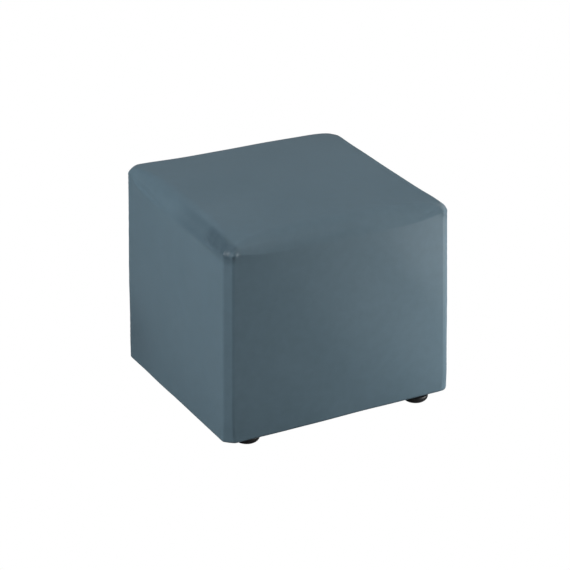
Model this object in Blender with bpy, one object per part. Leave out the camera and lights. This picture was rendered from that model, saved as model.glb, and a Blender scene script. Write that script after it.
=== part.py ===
"""Cube pouf stool: a firm, square, upholstered seat block that stands on four low round feet.

Units are metres and +Z is up. The origin is on the floor, under the middle of the stool.
+X runs to the right along the wide front face, and the front face looks towards -Y.

The seat block is one filled solid. Its skin starts as a cube whose faces are cut into a
square lattice, and every lattice point is then placed by the block's own sizes: walls that
lean in a little towards the top, rounded top edges that are softest half way along, a crowned
top, and a seam that stands proud along each upright corner.
"""

import math

import bmesh
import bpy
from mathutils import Vector

# Seat block: overall sizes; the width and depth are those at half its height
WIDTH = 0.450
DEPTH = 0.436
BODY_HEIGHT = 0.383
TAPER = 0.028

# Seat block: edges and corners
TOP_EDGE_END_RADIUS = 0.030
TOP_EDGE_MIDDLE_RADIUS = 0.042
TOP_EDGE_POWER = 4
BASE_EDGE_RADIUS = 0.005
CORNER_RADIUS = 0.027
BASE_CORNER_EXTRA = 0.006
BASE_CORNER_REACH = 0.045
TOP_CORNER_EXTRA = 0.014

# Seat block: softness of the filling
TOP_CROWN = 0.005
SIDE_BULGE = 0.0020
CORNER_DROP = 0.0020
CORNER_DROP_REACH = 0.060

# Seat block: the corner seams, and the line that the cover draws below each top edge
SEAM_RISE = 0.0024
SEAM_RIDGE_WIDTH = 0.010
EDGE_LINE_RISE = 0.0014
EDGE_LINE_PLACE = 0.20
EDGE_LINE_LENGTH = 0.200
EDGE_LINE_HALF_WIDTH = 0.014

# Feet: low turned glides
FOOT_RADIUS = 0.024
FOOT_FLAT_RADIUS = 0.014
FOOT_HEIGHT = 0.0137
FOOT_INSET_X = 0.052
FOOT_INSET_Y = 0.029
FOOT_STEPS = 32
FOOT_ARC_STEPS = 5

# The gap that parts touching pieces
CONTACT_GAP = 0.0003

# Skin lattice: squares along each side of a cube face, and the share of it that is flat
LATTICE_SQUARES = 20
FLAT_SHARE = 0.6
SEAM_CROWDING = 1.8

BODY_BASE = FOOT_HEIGHT + CONTACT_GAP
BODY_TOP = BODY_BASE + BODY_HEIGHT
HALF_WIDTH = WIDTH / 2
HALF_DEPTH = DEPTH / 2
RIGHT_ANGLE = math.pi / 2
LATTICE_TOLERANCE = 1e-5

COVER_COLOUR = (0.107, 0.150, 0.181)
COVER_ROUGHNESS = 0.50
FOOT_COLOUR = (0.012, 0.012, 0.013)
FOOT_ROUGHNESS = 0.45


def clear_scene():
    """Remove every object, so that the file holds the stool alone."""
    for item in list(bpy.data.objects):
        bpy.data.objects.remove(item, do_unlink=True)


def make_material(name, colour, roughness):
    """A plain non-metal surface."""
    material = bpy.data.materials.new(name)
    material.use_nodes = True
    shader = material.node_tree.nodes["Principled BSDF"]
    shader.inputs["Base Color"].default_value = (*colour, 1.0)
    shader.inputs["Roughness"].default_value = roughness
    shader.inputs["Metallic"].default_value = 0.0
    return material


def make_object(name, mesh_builder, material):
    """Turn a finished bmesh into a named, smooth-shaded object."""
    mesh = bpy.data.meshes.new(name)
    bmesh.ops.recalc_face_normals(mesh_builder, faces=mesh_builder.faces)
    mesh_builder.to_mesh(mesh)
    mesh_builder.free()
    mesh.materials.append(material)
    mesh.shade_smooth()
    item = bpy.data.objects.new(name, mesh)
    bpy.context.scene.collection.objects.link(item)
    return item


def smooth_step(share):
    """0 to 1 with a flat start and a flat end."""
    share = min(max(share, 0.0), 1.0)
    return share * share * (3.0 - 2.0 * share)


def edge_share(coordinate):
    """How far a lattice coordinate is through the rounded strip: 0 at its start, 1 at the edge."""
    return max(0.0, (abs(coordinate) - FLAT_SHARE) / (1.0 - FLAT_SHARE))


def corner_turn(along):
    """How far an upright corner has turned, with its lattice lines crowded towards the seam."""
    return RIGHT_ANGLE / 2 * (1.0 - (1.0 - edge_share(along)) ** SEAM_CROWDING)


def ring_point(half_x, half_y, radius, a, b):
    """A point on a rounded rectangle, for the direction (a, b) of a square lattice ring."""
    on_x_side = abs(a) >= abs(b)
    along = b / abs(a) if on_x_side else a / abs(b)
    straight = (half_y if on_x_side else half_x) - radius
    turn = corner_turn(along)
    drawn_in = radius * (1.0 - math.cos(turn))
    sideways = straight * min(abs(along) / FLAT_SHARE, 1.0) + radius * math.sin(turn)
    if on_x_side:
        return math.copysign(half_x - drawn_in, a), math.copysign(sideways, b)
    return math.copysign(sideways, a), math.copysign(half_y - drawn_in, b)


def cap_point(half_x, half_y, radius, a, b):
    """A point inside a flat cap: an even grid in the middle that turns into the rounded ring."""
    size = max(abs(a), abs(b)) / FLAT_SHARE
    if size < LATTICE_TOLERANCE:
        return 0.0, 0.0
    ring_x, ring_y = ring_point(half_x * size, half_y * size, radius * size, a, b)
    grid_x, grid_y = half_x * a / FLAT_SHARE, half_y * b / FLAT_SHARE
    blend = size * size
    return grid_x + (ring_x - grid_x) * blend, grid_y + (ring_y - grid_y) * blend


def top_edge_radius(a, b):
    """Radius of the top edge, which is softest half way between two corners."""
    along = min(abs(a), abs(b)) / max(abs(a), abs(b), LATTICE_TOLERANCE)
    to_corner = min(along / FLAT_SHARE, 1.0)
    spare = TOP_EDGE_MIDDLE_RADIUS - TOP_EDGE_END_RADIUS
    return TOP_EDGE_END_RADIUS + spare * (1.0 - to_corner ** TOP_EDGE_POWER) ** 2


def corner_radius(height, inset_share):
    """Plan radius of the upright corners, which are softer at the top and just above the base."""
    above_base = (height - BODY_BASE) / BASE_CORNER_REACH
    radius = CORNER_RADIUS + BASE_CORNER_EXTRA * (1.0 - smooth_step(above_base))
    return radius + (TOP_CORNER_EXTRA - CORNER_RADIUS) * inset_share


def block_point(a, b, c):
    """The place of lattice point (a, b, c) on the firm block, before the filling softens it."""
    is_top = c > 0
    on_cap = abs(c) > 1.0 - LATTICE_TOLERANCE
    ring_size = max(abs(a), abs(b))
    if on_cap:
        tilt = RIGHT_ANGLE * (1.0 - edge_share(ring_size) / 2)
    else:
        tilt = RIGHT_ANGLE / 2 * edge_share(c)
    edge_radius = top_edge_radius(a, b) if is_top else BASE_EDGE_RADIUS
    inset_share = 1.0 - math.cos(tilt)
    inset = edge_radius * inset_share
    rise = edge_radius * math.sin(tilt)
    wall_bottom = BODY_BASE + BASE_EDGE_RADIUS
    wall_top = BODY_TOP - top_edge_radius(a, b)
    level = min(max(c / FLAT_SHARE, -1.0), 1.0)
    wall_height = wall_bottom + (wall_top - wall_bottom) * (level + 1.0) / 2
    z = wall_height + (rise if is_top else -rise)
    half_x, half_y = HALF_WIDTH - inset, HALF_DEPTH - inset
    place = cap_point if on_cap and ring_size < FLAT_SHARE else ring_point
    x, y = place(half_x, half_y, corner_radius(z, inset_share if is_top else 0.0), a, b)
    return Vector((x, y, z))


def soften(point):
    """Crown the top, fill out and lean the walls, and let the four top corners sink a little."""
    across = 1.0 - (point.x / HALF_WIDTH) ** 2
    along = 1.0 - (point.y / HALF_DEPTH) ** 2
    upward = (point.z - BODY_BASE) / BODY_HEIGHT
    belly = 4.0 * upward * (1.0 - upward)
    skin_x = (point.x / HALF_WIDTH) ** 5
    skin_y = (point.y / HALF_DEPTH) ** 5
    from_corner = math.hypot(abs(point.x) - HALF_WIDTH, abs(point.y) - HALF_DEPTH)
    drop = CORNER_DROP * math.exp(-((from_corner / CORNER_DROP_REACH) ** 2))
    top_share = smooth_step((upward - 0.5) / 0.5)
    lean = 1.0 + TAPER * (0.5 - upward)
    return Vector((
        lean * (point.x + SIDE_BULGE * skin_x * max(along, 0.0) * belly),
        lean * (point.y + SIDE_BULGE * skin_y * max(across, 0.0) * belly),
        point.z + top_share * (TOP_CROWN * max(across * along, 0.0) - drop),
    ))


def seam_rise(a, b):
    """Height of the ridge that the cover makes over an upright corner seam."""
    along = min(abs(a), abs(b)) / max(abs(a), abs(b))
    from_seam = CORNER_RADIUS * (RIGHT_ANGLE / 2 - corner_turn(along))
    return SEAM_RISE * math.exp(-from_seam / SEAM_RIDGE_WIDTH)


def edge_line_rise(point, a, b):
    """Height of the line below a top edge, which fades with its distance from the corners."""
    line_height = BODY_TOP - top_edge_radius(a, b) * (1.0 - EDGE_LINE_PLACE)
    below = abs(point.z - line_height) / EDGE_LINE_HALF_WIDTH
    run_x = (HALF_WIDTH - abs(point.x)) / EDGE_LINE_LENGTH
    run_y = (HALF_DEPTH - abs(point.y)) / EDGE_LINE_LENGTH
    fade = 1.0 - smooth_step(max(run_x, run_y))
    return EDGE_LINE_RISE * fade * max(0.0, 1.0 - below)


def raised(point, a, b, c):
    """Move a wall point out over a seam or an edge line, square to the wall."""
    if abs(c) > 1.0 - LATTICE_TOLERANCE:
        return point
    core = Vector((
        math.copysign(min(abs(point.x), HALF_WIDTH - CORNER_RADIUS), point.x),
        math.copysign(min(abs(point.y), HALF_DEPTH - CORNER_RADIUS), point.y),
        point.z,
    ))
    outward = (point - core).normalized()
    upper_fade = 1.0 - edge_share(max(c, 0.0))
    return point + outward * (seam_rise(a, b) * upper_fade + edge_line_rise(point, a, b))


def build_body(material):
    """The filled seat block with its cover, as one closed solid."""
    builder = bmesh.new()
    bmesh.ops.create_cube(builder, size=2.0)
    bmesh.ops.subdivide_edges(
        builder, edges=builder.edges[:], cuts=LATTICE_SQUARES - 1, use_grid_fill=True
    )
    for vertex in builder.verts:
        a, b, c = vertex.co
        vertex.co = raised(soften(block_point(a, b, c)), a, b, c)
    return make_object("seat_body", builder, material)


def foot_profile():
    """Radius and height of a glide, from the middle of its top to the middle of its flat sole."""
    rounding = FOOT_RADIUS - FOOT_FLAT_RADIUS
    profile = [(0.0, FOOT_HEIGHT), (FOOT_RADIUS, FOOT_HEIGHT)]
    for step in range(FOOT_ARC_STEPS + 1):
        angle = RIGHT_ANGLE * step / FOOT_ARC_STEPS
        radius = FOOT_FLAT_RADIUS + rounding * math.cos(angle)
        profile.append((radius, rounding * (1.0 - math.sin(angle))))
    profile.append((0.0, 0.0))
    return profile


def build_foot(name, x, y, material):
    """A low round glide, turned about its own upright axis."""
    builder = bmesh.new()
    verts = [builder.verts.new((radius, 0.0, height)) for radius, height in foot_profile()]
    edges = [builder.edges.new(pair) for pair in zip(verts, verts[1:])]
    bmesh.ops.spin(
        builder, geom=verts + edges, cent=(0, 0, 0), axis=(0, 0, 1),
        angle=2 * math.pi, steps=FOOT_STEPS,
    )
    bmesh.ops.remove_doubles(builder, verts=builder.verts[:], dist=CONTACT_GAP / 10)
    foot = make_object(name, builder, material)
    foot.location = (x, y, 0.0)
    return foot


def build_feet(material):
    """One glide near each corner of the block."""
    for row, y in (("front", -1), ("back", 1)):
        for side, x in (("left", -1), ("right", 1)):
            build_foot(
                f"foot_{row}_{side}",
                x * (HALF_WIDTH - FOOT_INSET_X),
                y * (HALF_DEPTH - FOOT_INSET_Y),
                material,
            )


def main():
    clear_scene()
    build_body(make_material("cover", COVER_COLOUR, COVER_ROUGHNESS))
    build_feet(make_material("foot_plastic", FOOT_COLOUR, FOOT_ROUGHNESS))


main()
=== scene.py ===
"""A cube pouf stool in a studio: its leatherette cover, its moulded glides, light and camera.

Units are metres, +Z is up and the floor is z = 0. The front face looks towards -Y.
"""

import math

import bpy
import numpy as np
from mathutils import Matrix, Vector


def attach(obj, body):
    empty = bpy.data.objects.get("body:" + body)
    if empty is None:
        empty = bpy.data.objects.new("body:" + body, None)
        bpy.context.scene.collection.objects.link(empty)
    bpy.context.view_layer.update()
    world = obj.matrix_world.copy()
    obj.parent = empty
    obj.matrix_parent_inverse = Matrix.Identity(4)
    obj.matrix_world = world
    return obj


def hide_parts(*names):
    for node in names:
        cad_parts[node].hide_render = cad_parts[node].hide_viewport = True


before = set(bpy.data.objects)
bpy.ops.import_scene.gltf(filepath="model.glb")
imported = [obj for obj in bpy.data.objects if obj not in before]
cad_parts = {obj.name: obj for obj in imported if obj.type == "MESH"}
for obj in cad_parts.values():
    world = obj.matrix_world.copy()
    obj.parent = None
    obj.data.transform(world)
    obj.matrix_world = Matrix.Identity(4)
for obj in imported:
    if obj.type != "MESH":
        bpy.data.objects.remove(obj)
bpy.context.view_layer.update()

RIGHT_ANGLE = math.pi / 2
FULL_TURN = 2.0 * math.pi
TINY = 1e-6

# Seat block: the sizes of its solid, with the finer shape of the cover
WIDTH = 0.450
DEPTH = 0.436
BODY_HEIGHT = 0.383
WIDTH_TAPER = 0.030
DEPTH_TAPER = 0.024
BASE_EDGE_RADIUS = 0.005
TOP_CROWN = 0.005
SIDE_BULGE = 0.0020
SIDE_BULGE_POWER = 5

# Feet: low round glides, with a small bevel at the top and a round one at the sole
FOOT_RADIUS = 0.024
FOOT_FLAT_RADIUS = 0.014
FOOT_HEIGHT = 0.0137
FOOT_BEVEL = 0.0006
FOOT_INSET_X = 0.052
FOOT_INSET_Y = 0.029
FOOT_STEPS = 64
FOOT_SOLE_STEPS = 12
CONTACT_GAP = 0.0003

BODY_BASE = FOOT_HEIGHT + CONTACT_GAP
BODY_TOP = BODY_BASE + BODY_HEIGHT
HALF_WIDTH = WIDTH / 2
HALF_DEPTH = DEPTH / 2

# Top edges: softest in the middle, tight next to the corners, where the filling sinks
TOP_EDGE_RADIUS = 0.038
BACK_EDGE_SHARE = 0.80
TOP_EDGE_CORNER_RADIUS = 0.015
TOP_EDGE_REACH = 0.042
TOP_EDGE_POWER = 1.3
CORNER_DROP_REACH = 0.045
CORNER_DROP_POWER = 1.4

# The four corners. side: the signs of X and Y. round: how far the upright corner is round
# instead of cut flat, from 0 to 1. drop: how far the top sinks right at the corner. sink: how far
# the whole top leans down towards it. dip: depth of the dip beside it. The next value: how strongly
# the colour is darkened on the side walls' top edges beside it, painted shade beside the front-left
# corner and wear at the others. hem: how far its hem is lifted. base_shift: how far its base has
# moved, in X and Y.
CORNERS = (
    {"side": (-1, -1), "round": 0.0, "drop": 0.0120, "sink": 0.0, "dip": 0.0035,
     "painted_shade_and_wear": 1.00, "hem": 0.0006, "base_shift": (0.0, 0.0)},
    {"side": (1, -1), "round": 0.8, "drop": 0.0115, "sink": 0.0, "dip": 0.0012,
     "painted_shade_and_wear": 0.45, "hem": 0.0075, "base_shift": (0.0012, 0.0)},
    {"side": (-1, 1), "round": 0.5, "drop": 0.0045, "sink": 0.0, "dip": 0.0010,
     "painted_shade_and_wear": 0.15, "hem": -0.0100, "base_shift": (0.0, -0.0046)},
    {"side": (1, 1), "round": 0.4, "drop": 0.0145, "sink": 0.0010, "dip": 0.0020,
     "painted_shade_and_wear": 0.40, "hem": 0.0004, "base_shift": (0.0, 0.0)},
)

# Upright corners: a flat strip between two creases, narrower at the top, or a round corner
STRIP_CUT = 0.0135
STRIP_TOP_SHARE = 0.65
STRIP_BASE_SHARE = 1.15
STRIP_BASE_REACH = 0.045
CREASE_LENGTH = 0.0080
STRIP_LENGTH = STRIP_CUT / math.sqrt(2.0) + CREASE_LENGTH / 2
STRIP_SAMPLES = 400
ROUND_RADIUS = 0.018

# Hem: how far up the walls its unevenness reaches, and how far in under the block
HEM_REACH = 0.120
HEM_DEPTH = 0.018

# The line that the cover draws below each top edge, from beside a corner towards the middle
EDGE_LINE_RISE = 0.0024
EDGE_LINE_WIDTH = 0.011
EDGE_LINE_TILT = math.radians(10)
EDGE_LINE_LENGTH = 0.200

# Fine groove of the seam that joins each corner strip to the front or back wall, shallower where
# the corner is round
SEAM_GROOVE_DEPTH = 0.0005
SEAM_GROOVE_WIDTH = 0.0009
SEAM_PLACE = 0.0042
SEAM_ROUND_LOSS = 0.6

# Small stiff end of each seam at the top of a corner strip: how high it stands and how far it
# spreads, and its place along the wall from the corner, below the top and in from the wall
TIP_RISE = 0.0038
TIP_REACH = 0.0065
TIP_ALONG = 0.0178
TIP_BELOW_TOP = 0.0215
TIP_INSET = 0.0030

# Dip of the side walls' top edges next to each corner, where the cover lies over no filling
DIP_PLACE = 0.030
DIP_LONG_REACH = 0.060
DIP_SHORT_REACH = 0.014
DIP_BELOW_TOP = 0.015
DIP_HEIGHT = 0.012
DIP_INWARD = 0.024

# Slack of the whole cover: waves, each as its radians per metre in X, Y and Z, phase and share
SLACK_RISE = 0.0005
SLACK_WAVES = (
    (31.0, 17.0, 23.0, 0.6, 1.0),
    (-19.0, 37.0, -29.0, 2.1, 1.0),
    (53.0, -47.0, 41.0, 4.0, 0.6),
)

# Short gathers next to the seams. They wander off their pitch and come and go with the height, by
# the given radians per metre, and differently at each corner by the given shifts
GATHER_RISE = 0.00018
GATHER_PITCH = 0.0095
GATHER_REACH = 0.014
GATHER_WANDER = 1.7
GATHER_WANDER_RATE = 38.0
GATHER_WANDER_SHIFT = 5.0
GATHER_STRENGTH = 0.55
GATHER_SWING = 0.45
GATHER_SWING_RATE = 61.0
GATHER_SWING_SHIFT_X = 2.0
GATHER_SWING_SHIFT_Y = -1.0

# Short creases on the top edges: the wall by its axis and sign, then two or more points, each as
# its place along the wall and its depth below the top plane
FOLD_DEPTH = 0.0013
FOLD_WIDTH = 0.0026
FOLD_ZONE = 0.030
FOLD_END_SHARE = 0.04
FOLDS = (
    (1, -1, ((0.158, 0.0180), (0.176, 0.0185), (0.191, 0.0115))),
    (0, -1, ((-0.155, 0.0270), (-0.125, 0.0160))),
    (0, -1, ((0.075, 0.0300), (0.125, 0.0225), (0.168, 0.0215))),
    (0, 1, ((-0.140, 0.0260), (-0.176, 0.0160))),
    (0, 1, ((0.150, 0.0180), (0.180, 0.0150))),
    (1, 1, ((0.150, 0.0200), (0.184, 0.0130))),
)

# Painted shade and wear, as a share of full darkening. First a broad patch of painted shade low on
# the left wall, by its middle and size
LOW_PAINTED_SHADE = 0.60
LOW_PAINTED_SHADE_Y, LOW_PAINTED_SHADE_Z = 0.20, 0.06
LOW_PAINTED_SHADE_LENGTH, LOW_PAINTED_SHADE_HEIGHT, LOW_PAINTED_SHADE_INWARD = 0.11, 0.075, 0.070

# Then a patch beside each corner on the side walls' top edges, and a band that runs on from it:
# painted shade of the dip and of the shaded line under the edge beside the front-left corner, and
# wear at the other corners.
# Both follow a line that lies in from the wall and below the top, which sinks at the corners
PATCH_PAINTED_SHADE_AND_WEAR = 0.42
PATCH_MIDDLE = 0.050
PATCH_HALF_LENGTH = 0.048
PATCH_INSET, PATCH_BELOW_TOP = 0.015, 0.014
PATCH_REACH = 0.0145
PATCH_POWER = 8
BAND_PAINTED_SHADE_AND_WEAR = 0.58
BAND_START = -0.002
BAND_START_LENGTH = 0.012
BAND_FADE = 0.150
BAND_FADE_LENGTH = 0.100
BAND_INSET, BAND_BELOW_TOP = 0.010, 0.016
BAND_REACH = 0.0185
BAND_POWER = 6
PAINTED_SHADE_AND_WEAR_DROP_SHARE = 0.6

# Skin lattice
SKIN_CELLS = 120
FLAT_SHARE = 0.6
CORNER_CROWDING = 0.60

# Leatherette: linear colours, texture scales per metre of the object, gloss and grain
SLATE_DARK, SLATE_LIGHT = (0.099, 0.158, 0.197), (0.107, 0.168, 0.209)
SPOTS_DARK, SPOTS_LIGHT = (0.955, 0.955, 0.955), (1.03, 1.03, 1.03)
# Darker colour mixed in where shade is painted and where the cover is worn, how strongly and how
# patchily
PAINTED_SHADE_AND_WORN_COLOUR = (0.056, 0.094, 0.122, 1.0)
PAINTED_SHADE_AND_WEAR_DARKENING = 0.90
PAINTED_SHADE_AND_WEAR_PATCHINESS = 0.8
PAINTED_SHADE_AND_WEAR_EVENNESS = 0.6
BROAD_NOISE = {"Scale": 7.0, "Detail": 3.0}
SPOT_NOISE = {"Scale": 60.0, "Detail": 4.0}
PEBBLES = {"Scale": 850.0}
FINE_NOISE = {"Scale": 2600.0, "Detail": 2.0}
SLATE_ROUGHNESS = 0.44
SLATE_ROUGHNESS_SPREAD = 0.10
# How much glossier the cover is under the painted shade and wear
PAINTED_SHADE_AND_WEAR_SHINE = 0.06
SLATE_SPECULAR = 0.3
FINE_SHARE = 0.35
SLATE_BUMP = {"Strength": 0.25, "Distance": 0.0004}

# Black plastic of the glides
BLACK_DARK, BLACK_LIGHT = (0.010, 0.010, 0.011), (0.016, 0.016, 0.017)
SPARK_NOISE = {"Scale": 1800.0, "Detail": 2.0}
SCUFF_NOISE = {"Scale": 120.0, "Detail": 4.0}
PLASTIC_ROUGHNESS = 0.36
PLASTIC_ROUGHNESS_SPREAD = 0.16
PLASTIC_BUMP = {"Strength": 0.15, "Distance": 0.0002}

# Where a two-tone ramp starts and ends on its noise
RAMP_START = 0.3
RAMP_END = 0.7

# Studio: a paper floor, white to the eye and greyer to the light, and soft rectangular lights,
# each as its name, place, size, power and colour
WHITE = (1.0, 1.0, 1.0, 1.0)
FLOOR_HALF = 9.0
FLOOR_BOUNCE = (0.30, 0.30, 0.30, 1.0)
PAPER_GLOW = {"Color": WHITE, "Strength": 1.0}
LIGHT_TARGET = (0.0, 0.0, 0.2)
NEUTRAL = (1.0, 1.0, 1.0)
WARM = (1.0, 1.0, 0.97)
LIGHTS = (
    ("left_box", (-2.2, -0.3, 1.2), (1.8, 0.9), 42.5, NEUTRAL),
    ("left_back_card", (-0.80, 0.55, 0.75), (0.35, 0.35), 0.45, NEUTRAL),
    ("right_card", (1.15, -0.75, 0.35), (0.5, 0.9), 8.0, WARM),
    ("right_front_card", (0.60, -0.70, 0.22), (0.3, 0.5), 0.85, NEUTRAL),
    ("right_low_card", (0.75, -0.60, 0.10), (0.5, 0.2), 2.3, NEUTRAL),
    ("right_high_card", (0.9, -1.2, 1.6), (0.8, 0.8), 5.1, NEUTRAL),
    ("right_box", (1.6, 0.2, 1.0), (1.0, 1.2), 10.6, NEUTRAL),
    ("ceiling", (0.0, 0.0, 3.0), (4.0, 4.0), 34.5, NEUTRAL),
    ("back_box", (0.8, 2.4, 1.3), (2.4, 2.0), 5.4, NEUTRAL),
)

# Camera, from the outline in the photo
CAMERA_AZIMUTH = math.radians(-27.12)
CAMERA_ELEVATION = math.radians(24.47)
CAMERA_DISTANCE = 4.198
FOCAL_PIXELS = 2276.0
FRAME_PIXELS = 570
AIM_HEIGHT = BODY_BASE + BODY_HEIGHT / 2
AIM_RIGHT = 0.0004
AIM_DOWN = 0.0135
SENSOR_MM = 36.0
CLIP_END = 100.0


# ---------------------------------------------------------------- skin of the seat block


def smooth_step(share):
    """0 to 1 with a flat start and a flat end."""
    share = np.clip(share, 0.0, 1.0)
    return share * share * (3.0 - 2.0 * share)


def hump(distance, reach, power=2):
    """1 at no distance, and close to 0 well beyond the reach."""
    return np.exp(-((distance / reach) ** power))


def cube_lattice(cells):
    """Surface points of a cube lattice, each once, from -1 to 1, and the quads between them."""
    steps = np.arange(cells + 1)
    grid = np.stack(np.meshgrid(steps, steps, steps, indexing="ij"), -1)
    on_surface = ((grid == 0) | (grid == cells)).any(-1)
    number = np.full(on_surface.shape, -1)
    number[on_surface] = np.arange(on_surface.sum())
    quads = []
    for axis in range(3):
        for side in (0, cells):
            sheet = np.take(number, side, axis=axis)
            ring = [sheet[:-1, :-1], sheet[1:, :-1], sheet[1:, 1:], sheet[:-1, 1:]]
            if (side == cells) != (axis != 1):
                ring.reverse()
            quads.append(np.stack(ring, -1).reshape(-1, 4))
    return grid[on_surface] * 2.0 / cells - 1.0, np.concatenate(quads)


def edge_share(coordinate):
    """How far a lattice coordinate is through the rounded strip: 0 at its start, 1 at the edge."""
    return np.maximum(0.0, (np.abs(coordinate) - FLAT_SHARE) / (1.0 - FLAT_SHARE))


def flat_share(coordinate):
    """Signed place across the flat part, with the lattice lines crowded towards its ends."""
    place = np.minimum(np.abs(coordinate) / FLAT_SHARE, 1.0)
    place = place + CORNER_CROWDING * np.sin(math.pi * place) / math.pi
    return np.copysign(place, coordinate)


def strip_profile():
    """Plan of half an upright corner: its place along the wall and how far it is drawn in."""
    run = np.linspace(0.0, STRIP_LENGTH, STRIP_SAMPLES)
    turn = RIGHT_ANGLE / 2 * smooth_step(run / CREASE_LENGTH)
    step = run[1] - run[0]
    middle = (turn[:-1] + turn[1:]) / 2
    along = np.concatenate([[0.0], np.cumsum(np.cos(middle)) * step])
    drawn_in = np.concatenate([[0.0], np.cumsum(np.sin(middle)) * step])
    return run / run[-1], along, drawn_in


STRIP_PLACE, STRIP_ALONG, STRIP_DRAWN_IN = strip_profile()
STRIP_START = STRIP_ALONG[-1] + STRIP_DRAWN_IN[-1]


def is_cap(c):
    """Whether a lattice point belongs to the top or to the underside."""
    return np.abs(c) > 1.0 - TINY


def split_sides(a, b):
    """Whether a point belongs to an X wall, and its place along that wall from -1 to 1."""
    on_x_side = np.abs(a) >= np.abs(b)
    across = np.maximum(np.where(on_x_side, np.abs(a), np.abs(b)), TINY)
    return on_x_side, np.where(on_x_side, b, a) / across


def corner_value(a, b, key):
    """The value that belongs to the corner nearest to each lattice direction."""
    value = np.zeros_like(a)
    for corner in CORNERS:
        side_x, side_y = corner["side"]
        value = np.where((side_x * a >= 0) & (side_y * b >= 0), corner[key], value)
    return value


def ring_point(half_x, half_y, strip, a, b):
    """Points on a block outline with cut corners, for the directions (a, b) of a lattice ring."""
    on_x_side, along = split_sides(a, b)
    corner = edge_share(along)
    turn = RIGHT_ANGLE / 2 * corner
    cut = (1.0 - corner_value(a, b, "round")) * strip
    arc = corner_value(a, b, "round") * strip * ROUND_RADIUS
    straight = np.where(on_x_side, half_y, half_x) - cut * STRIP_START - arc
    drawn_in = cut * np.interp(corner, STRIP_PLACE, STRIP_DRAWN_IN) + arc * (1.0 - np.cos(turn))
    sideways = straight * np.abs(flat_share(along))
    sideways = sideways + cut * np.interp(corner, STRIP_PLACE, STRIP_ALONG) + arc * np.sin(turn)
    x = np.where(on_x_side, half_x - drawn_in, sideways)
    y = np.where(on_x_side, sideways, half_y - drawn_in)
    return np.copysign(x, a), np.copysign(y, b)


def to_corner(a, b):
    """Distance along a wall from the start of its rounded or cut corner."""
    on_x_side, along = split_sides(a, b)
    half = np.where(on_x_side, HALF_DEPTH, HALF_WIDTH)
    return half * (1.0 - np.abs(flat_share(along)))


def top_edge_radius(a, b):
    """Radius of the top edge, which is softest half way between two corners."""
    on_x_side = split_sides(a, b)[0]
    middle = TOP_EDGE_RADIUS * np.where(~on_x_side & (b > 0), BACK_EDGE_SHARE, 1.0)
    near = hump(to_corner(a, b), TOP_EDGE_REACH, TOP_EDGE_POWER)
    return middle - (middle - TOP_EDGE_CORNER_RADIUS) * near


def strip_width(height, inset_share):
    """Width of the corner strips as a share: narrower at the top and wider just above the base."""
    above_base = (height - BODY_BASE) / STRIP_BASE_REACH
    share = 1.0 + (STRIP_BASE_SHARE - 1.0) * (1.0 - smooth_step(above_base))
    return share + (STRIP_TOP_SHARE - 1.0) * inset_share


def edge_tilt(a, b, c):
    """How far the skin leans over a top or base edge: 0 on the wall, a right angle on the cap."""
    ring_size = np.maximum(np.abs(a), np.abs(b))
    cap_tilt = RIGHT_ANGLE * (1.0 - edge_share(ring_size) / 2)
    return np.where(is_cap(c), cap_tilt, RIGHT_ANGLE / 2 * edge_share(c))


def firm_block(lattice):
    """The place of every lattice point on the firm block, before the filling softens it."""
    a, b, c = lattice.T
    is_top = c > 0
    ring_size = np.maximum(np.abs(a), np.abs(b))
    tilt = edge_tilt(a, b, c)
    top_radius = top_edge_radius(a, b)
    edge_radius = np.where(is_top, top_radius, BASE_EDGE_RADIUS)
    inset_share = 1.0 - np.cos(tilt)
    inset = edge_radius * inset_share
    rise = edge_radius * np.sin(tilt)
    wall_bottom = BODY_BASE + BASE_EDGE_RADIUS
    wall_top = BODY_TOP - top_radius
    z = wall_bottom + (wall_top - wall_bottom) * (flat_share(c) + 1.0) / 2
    z = z + np.where(is_top, rise, -rise)
    half_x, half_y = HALF_WIDTH - inset, HALF_DEPTH - inset
    strip = strip_width(z, np.where(is_top, inset_share, 0.0))
    x, y = ring_point(half_x, half_y, strip, a, b)

    inside = is_cap(c) & (ring_size < FLAT_SHARE)
    size = np.where(inside, ring_size / FLAT_SHARE, 1.0)
    ring_x, ring_y = ring_point(half_x * size, half_y * size, strip * size, a, b)
    blend = size * size
    grid_x, grid_y = half_x * flat_share(a), half_y * flat_share(b)
    x = np.where(inside, grid_x + (ring_x - grid_x) * blend, x)
    y = np.where(inside, grid_y + (ring_y - grid_y) * blend, y)
    return np.stack([x, y, z], -1)


def corner_mix(x, y, values):
    """A value at (x, y) between the values of the four corners."""
    total = np.zeros_like(x)
    for corner, value in zip(CORNERS, values):
        side_x, side_y = corner["side"]
        share_x = np.clip(0.5 + side_x * x / WIDTH, 0.0, 1.0)
        share_y = np.clip(0.5 + side_y * y / DEPTH, 0.0, 1.0)
        total = total + value * share_x * share_y
    return total


def hem_rise(x, y, upward):
    """How much the base edge is lifted or let down at its place round the block."""
    inward = np.minimum(HALF_WIDTH - np.abs(x), HALF_DEPTH - np.abs(y))
    up_the_wall = 1.0 - smooth_step(upward * BODY_HEIGHT / HEM_REACH)
    under_block = 1.0 - smooth_step(inward / HEM_DEPTH)
    return up_the_wall * under_block * corner_mix(x, y, [corner["hem"] for corner in CORNERS])


def corner_drop(x, y):
    """How far the top sinks right at the four corners."""
    drop = np.zeros_like(x)
    for corner in CORNERS:
        side_x, side_y = corner["side"]
        away = np.hypot(x - side_x * HALF_WIDTH, y - side_y * HALF_DEPTH)
        drop = drop + corner["drop"] * hump(away, CORNER_DROP_REACH, CORNER_DROP_POWER)
    return drop


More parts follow.
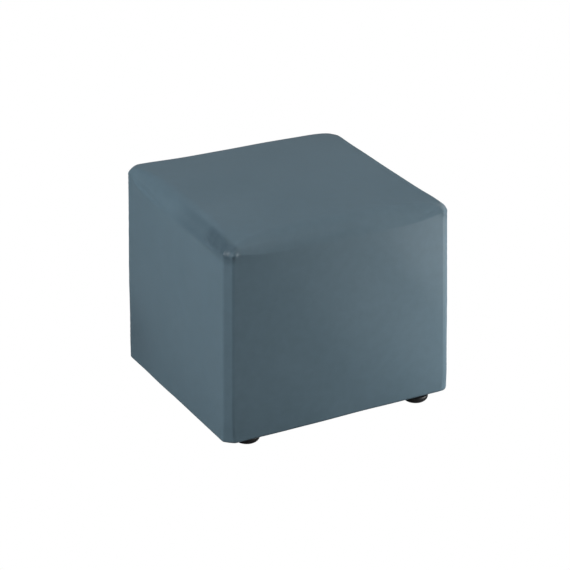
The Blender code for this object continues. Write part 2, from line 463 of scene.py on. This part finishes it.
def soften(points):
    """Crown the top, fill out and lean the walls, and let the four top corners sink."""
    x, y, z = points.T
    across = np.maximum(1.0 - (x / HALF_WIDTH) ** 2, 0.0)
    along = np.maximum(1.0 - (y / HALF_DEPTH) ** 2, 0.0)
    upward = (z - BODY_BASE) / BODY_HEIGHT
    belly = SIDE_BULGE * 4.0 * upward * (1.0 - upward)
    shift_x = corner_mix(x, y, [corner["base_shift"][0] for corner in CORNERS])
    shift_y = corner_mix(x, y, [corner["base_shift"][1] for corner in CORNERS])
    wide = x + belly * along * (x / HALF_WIDTH) ** SIDE_BULGE_POWER
    deep = y + belly * across * (y / HALF_DEPTH) ** SIDE_BULGE_POWER
    top_rise = TOP_CROWN * across * along - corner_drop(x, y)
    top_rise = top_rise - corner_mix(x, y, [corner["sink"] for corner in CORNERS])
    return np.stack([
        wide * (1.0 + WIDTH_TAPER * (0.5 - upward)) + shift_x * (1.0 - upward),
        deep * (1.0 + DEPTH_TAPER * (0.5 - upward)) + shift_y * (1.0 - upward),
        z + smooth_step((upward - 0.5) / 0.5) * top_rise + hem_rise(x, y, upward),
    ], -1)


def point_normals(points, quads):
    """Outward directions at the points of a closed quad skin."""
    corners = points[quads]
    face = np.cross(corners[:, 2] - corners[:, 0], corners[:, 3] - corners[:, 1])
    total = np.zeros_like(points)
    for corner in range(4):
        np.add.at(total, quads[:, corner], face)
    return total / np.maximum(np.linalg.norm(total, axis=1, keepdims=True), TINY * TINY)


# ---------------------------------------------------------------- relief, wear and painted shade of the cover


def edge_line_rise(lattice):
    """Height of the line below each top edge, from beside a corner until it fades out."""
    a, b, c = lattice.T
    radius = top_edge_radius(a, b)
    line_below_top = radius * (1.0 - math.sin(EDGE_LINE_TILT))
    above = firm_block(lattice)[:, 2] - (BODY_TOP - line_below_top)
    fade = 1.0 - smooth_step(to_corner(a, b) / EDGE_LINE_LENGTH)
    fade = fade * (1.0 - smooth_step(edge_share(split_sides(a, b)[1])))
    width = EDGE_LINE_WIDTH * radius / TOP_EDGE_RADIUS
    height = EDGE_LINE_RISE * radius / TOP_EDGE_RADIUS
    return np.where(is_cap(c), 0.0, height * fade * hump(np.abs(above), width, 1))


def seam_groove(lattice):
    """Depth of the seam along the crease of each corner strip on the front and back walls."""
    a, b, c = lattice.T
    on_x_side, along = split_sides(a, b)
    run = STRIP_LENGTH * edge_share(along)
    upper_fade = np.where(is_cap(c), 0.0, 1.0 - smooth_step(edge_share(np.maximum(c, 0.0))))
    in_corner = (np.abs(along) > FLAT_SHARE) & ~on_x_side
    depth = SEAM_GROOVE_DEPTH * (1.0 - SEAM_ROUND_LOSS * corner_value(a, b, "round"))
    depth = depth * upper_fade * hump(run - SEAM_PLACE, SEAM_GROOVE_WIDTH)
    return np.where(in_corner, depth, 0.0)


def seam_tips(points):
    """Height of the stiff seam ends on the front and back walls."""
    x, y, z = points.T
    rise = np.zeros_like(x)
    for corner in CORNERS:
        side_x, side_y = corner["side"]
        off_x = x - side_x * (HALF_WIDTH - TIP_ALONG)
        off_y = y - side_y * (HALF_DEPTH - TIP_INSET)
        away = np.sqrt(off_x ** 2 + off_y ** 2 + (z - BODY_TOP + TIP_BELOW_TOP) ** 2)
        rise = rise + TIP_RISE * (1.0 - corner["round"]) * hump(away, TIP_REACH)
    return rise


def corner_dips(points):
    """Depth of the shallow dips that the cover has beside the corners, on the side walls' edges."""
    x, y, z = points.T
    depth = np.zeros_like(x)
    for corner in CORNERS:
        side_x, side_y = corner["side"]
        along = HALF_DEPTH - side_y * y
        reach = np.where(along > DIP_PLACE, DIP_LONG_REACH, DIP_SHORT_REACH)
        lengthways = hump(along - DIP_PLACE, reach)
        crossways = hump(BODY_TOP - DIP_BELOW_TOP - z, DIP_HEIGHT)
        near_wall = hump(HALF_WIDTH - side_x * x, DIP_INWARD)
        depth = depth + corner["dip"] * lengthways * crossways * near_wall
    return depth


def segment_share(places, start, end):
    """How far along a segment the nearest point to each place is, and the distance to it."""
    run = end - start
    share = np.clip((places - start) @ run / (run @ run), 0.0, 1.0)
    return share, np.linalg.norm(places - start - share[:, None] * run, axis=1)


def short_folds(points):
    """Depth of the short creases across the top edges."""
    depth = np.zeros(len(points))
    half = (HALF_WIDTH, HALF_DEPTH)
    for axis, sign, line in FOLDS:
        places = np.stack([points[:, 1 - axis], BODY_TOP - points[:, 2]], -1)
        on_wall = 1.0 - smooth_step((half[axis] - sign * points[:, axis]) / FOLD_ZONE - 0.5)
        line = np.array(line)
        segments = len(line) - 1
        nearest = np.full(len(points), np.inf)
        progress = np.zeros(len(points))
        for number in range(segments):
            share, away = segment_share(places, line[number], line[number + 1])
            progress = np.where(away < nearest, (number + share) / segments, progress)
            nearest = np.minimum(nearest, away)
        progress = np.clip(progress, FOLD_END_SHARE, 1.0 - FOLD_END_SHARE)
        fade = np.sqrt(np.sin(math.pi * progress))
        depth = depth + FOLD_DEPTH * on_wall * fade * hump(nearest, FOLD_WIDTH)
    return depth


def slack(points):
    """Slow unevenness of the whole cover."""
    x, y, z = points.T
    total = np.zeros_like(x)
    for rate_x, rate_y, rate_z, phase, share in SLACK_WAVES:
        total = total + share * np.sin(rate_x * x + rate_y * y + rate_z * z + phase)
    return SLACK_RISE * total / sum(wave[-1] for wave in SLACK_WAVES)


def gathers(lattice, points):
    """Height of the small gathers across the corner strips' seams."""
    a, b, _ = lattice.T
    side_x, side_y = np.sign(a), np.sign(b)
    height = points[:, 2]
    wander = GATHER_WANDER_RATE * height + GATHER_WANDER_SHIFT * side_x * side_y
    phase = FULL_TURN * height / GATHER_PITCH + GATHER_WANDER * np.sin(wander)
    swing = GATHER_SWING_RATE * height
    swing = swing + GATHER_SWING_SHIFT_X * side_x + GATHER_SWING_SHIFT_Y * side_y
    strength = GATHER_STRENGTH + GATHER_SWING * np.sin(swing)
    return GATHER_RISE * strength * np.sin(phase) * hump(to_corner(a, b), GATHER_REACH, 1)


def painted_shade_and_wear_share(points):
    """How far the colour is darkened: painted shade low on the left wall, and painted shade and
    wear on the side walls' top edges.
    """
    x, y, z = points.T
    share = LOW_PAINTED_SHADE * hump(y - LOW_PAINTED_SHADE_Y, LOW_PAINTED_SHADE_LENGTH) * hump(z - LOW_PAINTED_SHADE_Z, LOW_PAINTED_SHADE_HEIGHT)
    share = share * hump(HALF_WIDTH + x, LOW_PAINTED_SHADE_INWARD)
    below_top = BODY_TOP - PAINTED_SHADE_AND_WEAR_DROP_SHARE * corner_drop(x, y) - z
    for corner in CORNERS:
        side_x, side_y = corner["side"]
        along = HALF_DEPTH - side_y * y
        inward = HALF_WIDTH - side_x * x
        from_patch = np.hypot(inward - PATCH_INSET, below_top - PATCH_BELOW_TOP)
        patch = hump(np.abs(along - PATCH_MIDDLE), PATCH_HALF_LENGTH, PATCH_POWER)
        patch = PATCH_PAINTED_SHADE_AND_WEAR * patch * hump(from_patch, PATCH_REACH, PATCH_POWER)
        from_band = np.hypot(inward - BAND_INSET, below_top - BAND_BELOW_TOP)
        band = smooth_step((along - BAND_START) / BAND_START_LENGTH)
        band = band * (1.0 - smooth_step((along - BAND_FADE) / BAND_FADE_LENGTH))
        band = BAND_PAINTED_SHADE_AND_WEAR * band * hump(from_band, BAND_REACH, BAND_POWER)
        share = share + corner["painted_shade_and_wear"] * (patch + band)
    return np.minimum(share, 1.0)


# ---------------------------------------------------------------- pieces


def add_object(name, data):
    """A new object in the scene."""
    thing = bpy.data.objects.new(name, data)
    bpy.context.scene.collection.objects.link(thing)
    return thing


def make_piece(name, points, faces, material):
    """A named, smooth-shaded mesh object."""
    mesh = bpy.data.meshes.new(name)
    mesh.from_pydata(points, [], faces)
    mesh.materials.append(material)
    mesh.shade_smooth()
    return add_object(name, mesh)


def build_cover(material):
    """The filled cover, as one closed skin."""
    lattice, quads = cube_lattice(SKIN_CELLS)
    points = soften(firm_block(lattice))
    normals = point_normals(points, quads)
    rise = edge_line_rise(lattice) + seam_tips(points) + slack(points) + gathers(lattice, points)
    rise = rise - seam_groove(lattice) - corner_dips(points) - short_folds(points)
    # How far the colour is darkened, by painted shade and by wear, kept on the points for the
    # material
    painted_shade_and_wear = painted_shade_and_wear_share(points)
    points = points + normals * rise[:, None]
    cover = make_piece("cover_body", points.tolist(), quads.tolist(), material)
    cover.data.attributes.new("painted_shade_and_wear", "FLOAT", "POINT").data.foreach_set("value", painted_shade_and_wear)
    return cover


def foot_outline():
    """Radius and height of a glide from its top to its sole, with softened rims."""
    rounding = FOOT_RADIUS - FOOT_FLAT_RADIUS
    outline = [(FOOT_RADIUS - FOOT_BEVEL, FOOT_HEIGHT), (FOOT_RADIUS, FOOT_HEIGHT - FOOT_BEVEL)]
    for step in range(FOOT_SOLE_STEPS + 1):
        angle = RIGHT_ANGLE * step / FOOT_SOLE_STEPS
        radius = FOOT_FLAT_RADIUS + rounding * math.cos(angle)
        outline.append((radius, rounding * (1.0 - math.sin(angle))))
    return outline


def build_foot(name, centre_x, centre_y, material):
    """A low round glide, closed at its top and sole."""
    outline = foot_outline()
    turns = [FULL_TURN * step / FOOT_STEPS for step in range(FOOT_STEPS)]
    points = [
        (centre_x + radius * math.cos(turn), centre_y + radius * math.sin(turn), height)
        for radius, height in outline
        for turn in turns
    ]
    faces = []
    for row in range(len(outline) - 1):
        upper, lower = row * FOOT_STEPS, (row + 1) * FOOT_STEPS
        for step in range(FOOT_STEPS):
            following = (step + 1) % FOOT_STEPS
            faces.append((upper + step, lower + step, lower + following, upper + following))
    faces.append(tuple(range(FOOT_STEPS)))
    last = (len(outline) - 1) * FOOT_STEPS
    faces.append(tuple(last + step for step in reversed(range(FOOT_STEPS))))
    return make_piece(name, points, faces, material)


# ---------------------------------------------------------------- materials


def new_material(name):
    """A material with its node tree and its shader."""
    material = bpy.data.materials.new(name)
    material.use_nodes = True
    tree = material.node_tree
    return material, tree, tree.nodes["Principled BSDF"]


def add_node(tree, kind, inputs=None, **settings):
    """A node with the given settings and input values."""
    node = tree.nodes.new(kind)
    for key, value in settings.items():
        setattr(node, key, value)
    for key, value in (inputs or {}).items():
        node.inputs[key].default_value = value
    return node


def feed(tree, socket, source):
    """Gives an input socket its source, which is an output socket or a fixed value."""
    if isinstance(source, bpy.types.NodeSocket):
        tree.links.new(source, socket)
    else:
        socket.default_value = source


def add_textures(tree, *textures):
    """Texture nodes in the object's own coordinates, each given as its kind and inputs."""
    place = add_node(tree, "ShaderNodeTexCoord")
    nodes = [add_node(tree, kind, inputs) for kind, inputs in textures]
    for node in nodes:
        tree.links.new(place.outputs["Object"], node.inputs["Vector"])
    return nodes


def add_math(tree, operation, *sources):
    """The result of a maths node on sockets and numbers."""
    node = add_node(tree, "ShaderNodeMath", operation=operation)
    for socket, source in zip(node.inputs, sources):
        feed(tree, socket, source)
    return node.outputs["Value"]


def mix_colours(tree, share, first, second, blend="MIX"):
    """The result of a colour mix, whose share and colours are sockets or fixed values."""
    node = add_node(tree, "ShaderNodeMix", data_type="RGBA", blend_type=blend)
    colours = [socket for socket in node.inputs if socket.type == "RGBA"]
    for socket, source in zip((node.inputs["Factor"], *colours), (share, first, second)):
        feed(tree, socket, source)
    return next(socket for socket in node.outputs if socket.type == "RGBA")


def two_tone(tree, share, dark, light):
    """A colour ramp between two linear colours."""
    ramp = add_node(tree, "ShaderNodeValToRGB")
    for element, place, colour in zip(
        ramp.color_ramp.elements, (RAMP_START, RAMP_END), (dark, light)
    ):
        element.position = place
        element.color = (*colour, 1.0)
    tree.links.new(share, ramp.inputs["Fac"])
    return ramp.outputs["Color"]


def add_bump(tree, shader, height, strength):
    """Fine relief of the surface, as the shader's normal."""
    bump = add_node(tree, "ShaderNodeBump", strength)
    tree.links.new(height, bump.inputs["Height"])
    tree.links.new(bump.outputs["Normal"], shader.inputs["Normal"])


def leatherette():
    """Smooth slate blue-grey leatherette with a fine pebble grain, darker where shade is painted in
    and where it is worn.
    """
    material, tree, shader = new_material("slate_leatherette")
    broad, spots, pebbles, fine = add_textures(
        tree,
        ("ShaderNodeTexNoise", BROAD_NOISE),
        ("ShaderNodeTexNoise", SPOT_NOISE),
        ("ShaderNodeTexVoronoi", PEBBLES),
        ("ShaderNodeTexNoise", FINE_NOISE),
    )
    # The painted shade and wear of the cover's points, made patchy by the spot noise
    painted_shade_and_wear_node = add_node(tree, "ShaderNodeAttribute", attribute_name="painted_shade_and_wear")
    patchy = add_math(tree, "MULTIPLY_ADD", spots.outputs["Fac"], PAINTED_SHADE_AND_WEAR_PATCHINESS, PAINTED_SHADE_AND_WEAR_EVENNESS)
    painted_shade_and_wear = add_math(tree, "MULTIPLY", painted_shade_and_wear_node.outputs["Fac"], patchy)

    base = two_tone(tree, broad.outputs["Fac"], SLATE_DARK, SLATE_LIGHT)
    shade = two_tone(tree, spots.outputs["Fac"], SPOTS_DARK, SPOTS_LIGHT)
    spotted = mix_colours(tree, 1.0, base, shade, blend="MULTIPLY")
    # The colour darkened there, as painted shade and wear
    darkening = add_math(tree, "MULTIPLY", painted_shade_and_wear, PAINTED_SHADE_AND_WEAR_DARKENING)
    colour = mix_colours(tree, darkening, spotted, PAINTED_SHADE_AND_WORN_COLOUR)
    tree.links.new(colour, shader.inputs["Base Color"])

    uneven = add_math(tree, "MULTIPLY", spots.outputs["Fac"], SLATE_ROUGHNESS_SPREAD)
    rough = add_math(tree, "ADD", uneven, SLATE_ROUGHNESS)
    rough = add_math(tree, "SUBTRACT", rough, add_math(tree, "MULTIPLY", painted_shade_and_wear, PAINTED_SHADE_AND_WEAR_SHINE))
    tree.links.new(rough, shader.inputs["Roughness"])
    shader.inputs["Specular IOR Level"].default_value = SLATE_SPECULAR

    height = add_math(tree, "MULTIPLY", fine.outputs["Fac"], FINE_SHARE)
    height = add_math(tree, "ADD", height, pebbles.outputs["Distance"])
    add_bump(tree, shader, height, SLATE_BUMP)
    return material


def black_plastic():
    """Satin black moulded plastic with a fine texture."""
    material, tree, shader = new_material("black_moulded_plastic")
    spark, scuff = add_textures(
        tree, ("ShaderNodeTexNoise", SPARK_NOISE), ("ShaderNodeTexNoise", SCUFF_NOISE)
    )
    colour = two_tone(tree, scuff.outputs["Fac"], BLACK_DARK, BLACK_LIGHT)
    tree.links.new(colour, shader.inputs["Base Color"])
    uneven = add_math(tree, "MULTIPLY", scuff.outputs["Fac"], PLASTIC_ROUGHNESS_SPREAD)
    rough = add_math(tree, "ADD", uneven, PLASTIC_ROUGHNESS)
    tree.links.new(rough, shader.inputs["Roughness"])
    add_bump(tree, shader, spark.outputs["Fac"], PLASTIC_BUMP)
    return material


def white_paper():
    """Paper that looks plain white and sends only a little light back."""
    material, tree, shader = new_material("white_paper")
    tree.nodes.remove(shader)
    seen = add_node(tree, "ShaderNodeLightPath")
    bounce = add_node(tree, "ShaderNodeBsdfDiffuse", {"Color": FLOOR_BOUNCE})
    paper = add_node(tree, "ShaderNodeEmission", PAPER_GLOW)
    either = add_node(tree, "ShaderNodeMixShader")
    tree.links.new(seen.outputs["Is Camera Ray"], either.inputs["Fac"])
    tree.links.new(bounce.outputs["BSDF"], either.inputs[1])
    tree.links.new(paper.outputs["Emission"], either.inputs[2])
    tree.links.new(either.outputs["Shader"], tree.nodes["Material Output"].inputs["Surface"])
    return material


# ---------------------------------------------------------------- studio


def build_floor():
    """A plain white floor."""
    signs = ((-1, -1), (1, -1), (1, 1), (-1, 1))
    corners = [(sign_x * FLOOR_HALF, sign_y * FLOOR_HALF, 0.0) for sign_x, sign_y in signs]
    floor = make_piece("studio_floor", corners, [(0, 1, 2, 3)], white_paper())


def area_light(name, place, size, power, colour):
    """A soft rectangular light that faces the stool."""
    data = bpy.data.lights.new(name, "AREA")
    data.shape = "RECTANGLE"
    data.size, data.size_y = size
    data.energy = power
    data.color = colour
    light = add_object(name, data)
    light.location = place
    to_target = Vector(LIGHT_TARGET) - Vector(place)
    light.rotation_euler = to_target.to_track_quat("-Z", "Y").to_euler()


def light_studio():
    """Soft light from the left, cards on the right, a wide ceiling and a little from behind."""
    for light in LIGHTS:
        area_light(*light)
    world = bpy.data.worlds.new("studio")
    world.use_nodes = True
    tree = world.node_tree
    backdrop = tree.nodes["Background"]
    seen = add_node(tree, "ShaderNodeLightPath")
    strength = add_node(tree, "ShaderNodeMapRange", {"To Min": 0.0, "To Max": 1.0})
    tree.links.new(seen.outputs["Is Camera Ray"], strength.inputs["Value"])
    tree.links.new(strength.outputs["Result"], backdrop.inputs["Strength"])
    backdrop.inputs["Color"].default_value = WHITE
    bpy.context.scene.world = world


def build_camera():
    """The camera at the photo's viewing angle, aimed to set the stool in the photo's place."""
    turn, lift = CAMERA_AZIMUTH, CAMERA_ELEVATION
    back = Vector((
        math.sin(turn) * math.cos(lift), -math.cos(turn) * math.cos(lift), math.sin(lift)
    ))
    right = Vector((math.cos(turn), math.sin(turn), 0.0))
    up = back.cross(right)
    aim = Vector((0.0, 0.0, AIM_HEIGHT)) + right * AIM_RIGHT - up * AIM_DOWN
    data = bpy.data.cameras.new("camera")
    data.sensor_width = SENSOR_MM
    data.lens = FOCAL_PIXELS * SENSOR_MM / FRAME_PIXELS
    data.clip_end = CLIP_END
    camera = add_object("camera", data)
    camera.location = aim + back * CAMERA_DISTANCE
    camera.rotation_mode = "QUATERNION"
    camera.rotation_quaternion = (-back).to_track_quat("-Z", "Y")
    bpy.context.scene.camera = camera


# ---------------------------------------------------------------- scene

build_camera()
light_studio()
build_floor()
bpy.context.scene.view_settings.view_transform = "Standard"

cover = build_cover(leatherette())
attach(cover, "root")
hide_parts("seat_body")

plastic = black_plastic()
for row, side_y in (("front", -1), ("back", 1)):
    for side, side_x in (("left", -1), ("right", 1)):
        foot = build_foot(
            f"glide_{row}_{side}",
            side_x * (HALF_WIDTH - FOOT_INSET_X),
            side_y * (HALF_DEPTH - FOOT_INSET_Y),
            plastic,
        )
        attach(foot, "root")
        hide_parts(f"foot_{row}_{side}")
